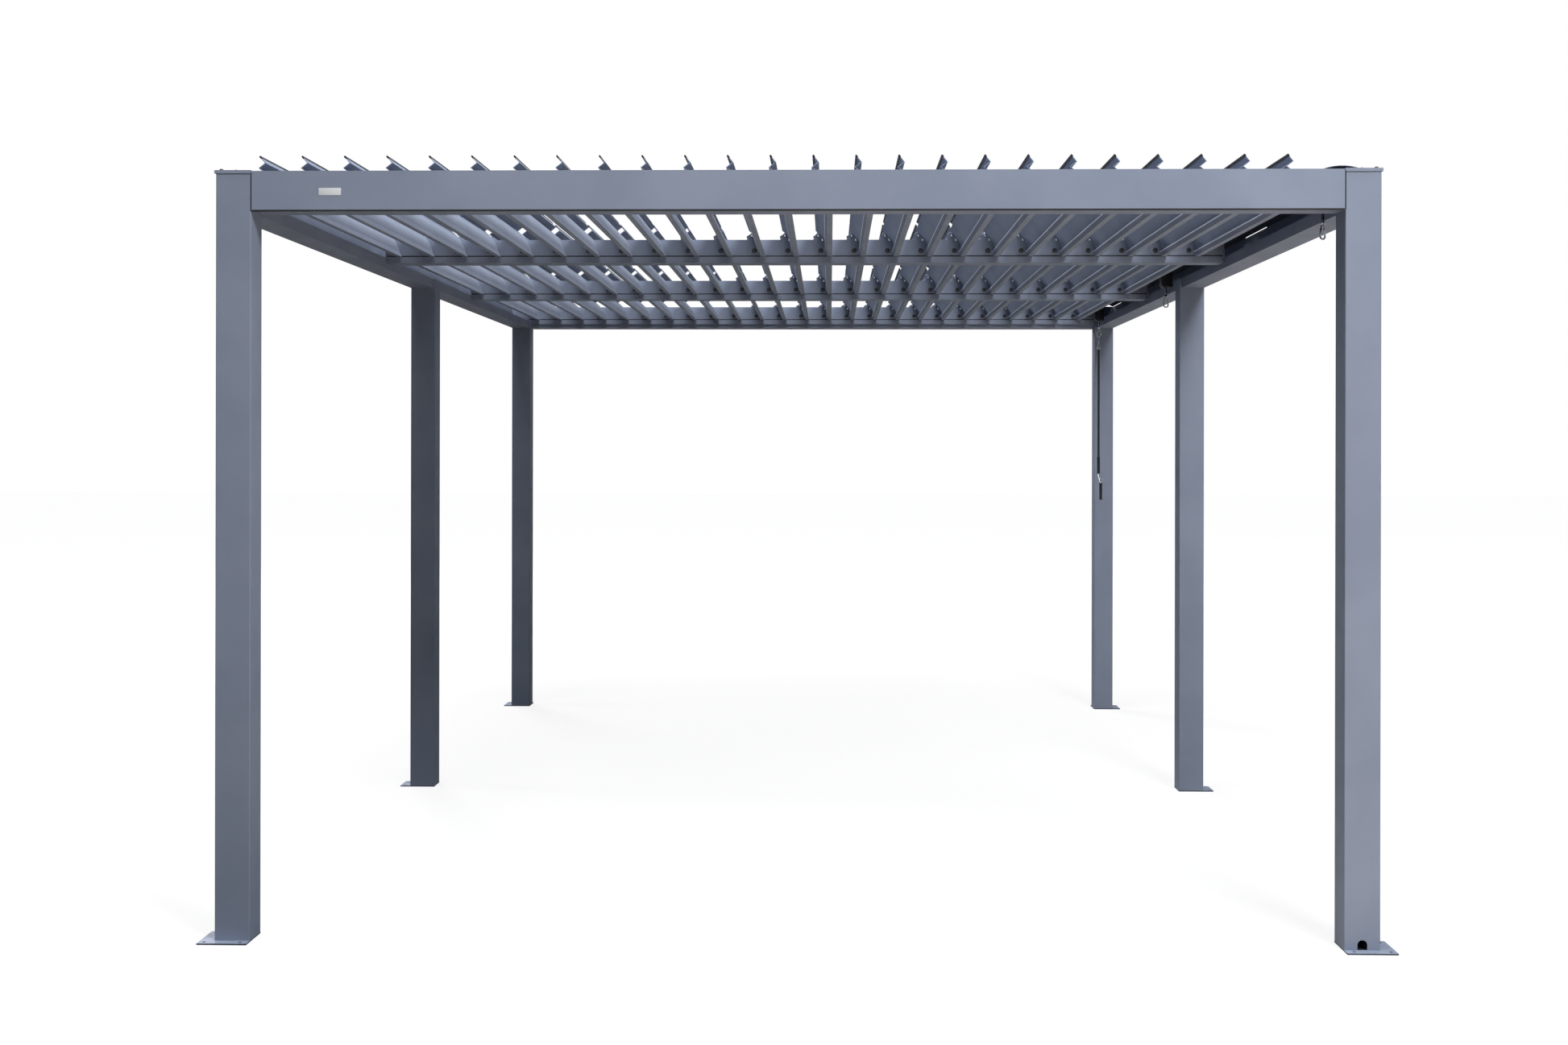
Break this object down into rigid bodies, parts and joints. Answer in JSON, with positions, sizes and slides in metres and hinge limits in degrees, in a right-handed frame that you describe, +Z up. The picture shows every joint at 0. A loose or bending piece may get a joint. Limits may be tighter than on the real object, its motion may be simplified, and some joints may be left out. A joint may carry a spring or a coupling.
{
  "type": "louvered pergola",
  "caption": "Free-standing aluminium pergola with a roof of tilting louvres between gutter beams, worked by a hanging crank.",
  "frame": {"origin": "on the ground at the centre of the footprint", "axes": "+Z up, +X to the right seen from the front, +Y from the front to the back, along the louvres"},
  "size_m": [3.69, 5.472, 2.4627],
  "materials": {
    "frame_coat": "satin grey-blue powder coat",
    "louvre_coat": "satin grey-blue powder coat",
    "foot_coat": "satin light grey powder coat",
    "gear_housing": "matt dark moulded housing",
    "chrome": "bright plated bar",
    "crank_black": "satin black paint",
    "crank_grip": "matt black sleeve"
  },
  "bodies": {
    "frame": {"post_front_left": "frame_coat", "post_middle_left": "frame_coat", "post_back_left": "frame_coat", "post_front_right": "frame_coat", "post_middle_right": "frame_coat", "post_back_right": "frame_coat", "foot_plates": "foot_coat", "post_caps": "frame_coat", "beam_front": "frame_coat", "beam_back": "frame_coat", "beam_left_front": "frame_coat", "beam_left_back": "frame_coat", "beam_right_front": "frame_coat", "beam_right_back": "frame_coat", "rail_front": "frame_coat", "rail_back": "frame_coat", "crossbeam_front": "frame_coat", "crossbeam_rear": "frame_coat", "cover_strips": "frame_coat", "gearboxes": "gear_housing"},
    "louvres_01": {"louvre_row_01": "louvre_coat"},
    "louvres_02": {"louvre_row_02": "louvre_coat"},
    "louvres_03": {"louvre_row_03": "louvre_coat"},
    "louvres_04": {"louvre_row_04": "louvre_coat"},
    "louvres_05": {"louvre_row_05": "louvre_coat"},
    "louvres_06": {"louvre_row_06": "louvre_coat"},
    "louvres_07": {"louvre_row_07": "louvre_coat"},
    "louvres_08": {"louvre_row_08": "louvre_coat"},
    "louvres_09": {"louvre_row_09": "louvre_coat"},
    "louvres_10": {"louvre_row_10": "louvre_coat"},
    "louvres_11": {"louvre_row_11": "louvre_coat"},
    "louvres_12": {"louvre_row_12": "louvre_coat"},
    "louvres_13": {"louvre_row_13": "louvre_coat"},
    "louvres_14": {"louvre_row_14": "louvre_coat"},
    "louvres_15": {"louvre_row_15": "louvre_coat"},
    "louvres_16": {"louvre_row_16": "louvre_coat"},
    "louvres_17": {"louvre_row_17": "louvre_coat"},
    "louvres_18": {"louvre_row_18": "louvre_coat"},
    "louvres_19": {"louvre_row_19": "louvre_coat"},
    "louvres_20": {"louvre_row_20": "louvre_coat"},
    "louvres_21": {"louvre_row_21": "louvre_coat"},
    "louvres_22": {"louvre_row_22": "louvre_coat"},
    "louvres_23": {"louvre_row_23": "louvre_coat"},
    "louvres_24": {"louvre_row_24": "louvre_coat"},
    "louvres_25": {"louvre_row_25": "louvre_coat"},
    "winder_front": {"eyelet_front": "chrome"},
    "winder_middle": {"eyelet_middle": "chrome"},
    "winder_rear": {"eyelet_rear": "chrome", "crank_hook": "chrome", "crank_rod": "crank_black", "crank_arm": "chrome", "crank_grips": "crank_grip"}
  },
  "joints": [
    {"name": "tilt_01", "type": "hinge", "parent": "frame", "child": "louvres_01", "pos_m": [-1.682, 0, 2.346], "axis": [0, 1, 0], "range_deg": [-61, 10]},
    {"name": "tilt_02", "type": "hinge", "parent": "frame", "child": "louvres_02", "pos_m": [-1.547, 0, 2.346], "axis": [0, 1, 0], "range_deg": [-61, 10]},
    {"name": "tilt_03", "type": "hinge", "parent": "frame", "child": "louvres_03", "pos_m": [-1.412, 0, 2.346], "axis": [0, 1, 0], "range_deg": [-61, 10]},
    {"name": "tilt_04", "type": "hinge", "parent": "frame", "child": "louvres_04", "pos_m": [-1.277, 0, 2.346], "axis": [0, 1, 0], "range_deg": [-61, 10]},
    {"name": "tilt_05", "type": "hinge", "parent": "frame", "child": "louvres_05", "pos_m": [-1.142, 0, 2.346], "axis": [0, 1, 0], "range_deg": [-61, 10]},
    {"name": "tilt_06", "type": "hinge", "parent": "frame", "child": "louvres_06", "pos_m": [-1.007, 0, 2.346], "axis": [0, 1, 0], "range_deg": [-61, 10]},
    {"name": "tilt_07", "type": "hinge", "parent": "frame", "child": "louvres_07", "pos_m": [-0.872, 0, 2.346], "axis": [0, 1, 0], "range_deg": [-61, 10]},
    {"name": "tilt_08", "type": "hinge", "parent": "frame", "child": "louvres_08", "pos_m": [-0.737, 0, 2.346], "axis": [0, 1, 0], "range_deg": [-61, 10]},
    {"name": "tilt_09", "type": "hinge", "parent": "frame", "child": "louvres_09", "pos_m": [-0.602, 0, 2.346], "axis": [0, 1, 0], "range_deg": [-61, 10]},
    {"name": "tilt_10", "type": "hinge", "parent": "frame", "child": "louvres_10", "pos_m": [-0.467, 0, 2.346], "axis": [0, 1, 0], "range_deg": [-61, 10]},
    {"name": "tilt_11", "type": "hinge", "parent": "frame", "child": "louvres_11", "pos_m": [-0.332, 0, 2.346], "axis": [0, 1, 0], "range_deg": [-61, 10]},
    {"name": "tilt_12", "type": "hinge", "parent": "frame", "child": "louvres_12", "pos_m": [-0.197, 0, 2.346], "axis": [0, 1, 0], "range_deg": [-61, 10]},
    {"name": "tilt_13", "type": "hinge", "parent": "frame", "child": "louvres_13", "pos_m": [-0.062, 0, 2.346], "axis": [0, 1, 0], "range_deg": [-61, 10]},
    {"name": "tilt_14", "type": "hinge", "parent": "frame", "child": "louvres_14", "pos_m": [0.073, 0, 2.346], "axis": [0, 1, 0], "range_deg": [-61, 10]},
    {"name": "tilt_15", "type": "hinge", "parent": "frame", "child": "louvres_15", "pos_m": [0.208, 0, 2.346], "axis": [0, 1, 0], "range_deg": [-61, 10]},
    {"name": "tilt_16", "type": "hinge", "parent": "frame", "child": "louvres_16", "pos_m": [0.343, 0, 2.346], "axis": [0, 1, 0], "range_deg": [-61, 10]},
    {"name": "tilt_17", "type": "hinge", "parent": "frame", "child": "louvres_17", "pos_m": [0.478, 0, 2.346], "axis": [0, 1, 0], "range_deg": [-61, 10]},
    {"name": "tilt_18", "type": "hinge", "parent": "frame", "child": "louvres_18", "pos_m": [0.613, 0, 2.346], "axis": [0, 1, 0], "range_deg": [-61, 10]},
    {"name": "tilt_19", "type": "hinge", "parent": "frame", "child": "louvres_19", "pos_m": [0.748, 0, 2.346], "axis": [0, 1, 0], "range_deg": [-61, 10]},
    {"name": "tilt_20", "type": "hinge", "parent": "frame", "child": "louvres_20", "pos_m": [0.883, 0, 2.346], "axis": [0, 1, 0], "range_deg": [-61, 10]},
    {"name": "tilt_21", "type": "hinge", "parent": "frame", "child": "louvres_21", "pos_m": [1.018, 0, 2.346], "axis": [0, 1, 0], "range_deg": [-61, 10]},
    {"name": "tilt_22", "type": "hinge", "parent": "frame", "child": "louvres_22", "pos_m": [1.153, 0, 2.346], "axis": [0, 1, 0], "range_deg": [-61, 10]},
    {"name": "tilt_23", "type": "hinge", "parent": "frame", "child": "louvres_23", "pos_m": [1.288, 0, 2.346], "axis": [0, 1, 0], "range_deg": [-61, 10]},
    {"name": "tilt_24", "type": "hinge", "parent": "frame", "child": "louvres_24", "pos_m": [1.423, 0, 2.346], "axis": [0, 1, 0], "range_deg": [-61, 10]},
    {"name": "tilt_25", "type": "hinge", "parent": "frame", "child": "louvres_25", "pos_m": [1.558, 0, 2.346], "axis": [0, 1, 0], "range_deg": [-61, 10]},
    {"name": "wind_front", "type": "hinge", "parent": "frame", "child": "winder_front", "pos_m": [1.675, -2.495, 2.28], "axis": [0, 0, 1], "continuous": true},
    {"name": "wind_middle", "type": "hinge", "parent": "frame", "child": "winder_middle", "pos_m": [1.675, 0.205, 2.28], "axis": [0, 0, 1], "continuous": true},
    {"name": "wind_rear", "type": "hinge", "parent": "frame", "child": "winder_rear", "pos_m": [1.675, 2.325, 2.28], "axis": [0, 0, 1], "continuous": true}
  ],
  "couplings": [
    {"joint": "tilt_02", "follows": "tilt_01", "ratio": 1},
    {"joint": "tilt_03", "follows": "tilt_01", "ratio": 1},
    {"joint": "tilt_04", "follows": "tilt_01", "ratio": 1},
    {"joint": "tilt_05", "follows": "tilt_01", "ratio": 1},
    {"joint": "tilt_06", "follows": "tilt_01", "ratio": 1},
    {"joint": "tilt_07", "follows": "tilt_01", "ratio": 1},
    {"joint": "tilt_08", "follows": "tilt_01", "ratio": 1},
    {"joint": "tilt_09", "follows": "tilt_01", "ratio": 1},
    {"joint": "tilt_10", "follows": "tilt_01", "ratio": 1},
    {"joint": "tilt_11", "follows": "tilt_01", "ratio": 1},
    {"joint": "tilt_12", "follows": "tilt_01", "ratio": 1},
    {"joint": "tilt_13", "follows": "tilt_01", "ratio": 1},
    {"joint": "tilt_14", "follows": "tilt_01", "ratio": 1},
    {"joint": "tilt_15", "follows": "tilt_01", "ratio": 1},
    {"joint": "tilt_16", "follows": "tilt_01", "ratio": 1},
    {"joint": "tilt_17", "follows": "tilt_01", "ratio": 1},
    {"joint": "tilt_18", "follows": "tilt_01", "ratio": 1},
    {"joint": "tilt_19", "follows": "tilt_01", "ratio": 1},
    {"joint": "tilt_20", "follows": "tilt_01", "ratio": 1},
    {"joint": "tilt_21", "follows": "tilt_01", "ratio": 1},
    {"joint": "tilt_22", "follows": "tilt_01", "ratio": 1},
    {"joint": "tilt_23", "follows": "tilt_01", "ratio": 1},
    {"joint": "tilt_24", "follows": "tilt_01", "ratio": 1},
    {"joint": "tilt_25", "follows": "tilt_01", "ratio": 1}
  ]
}
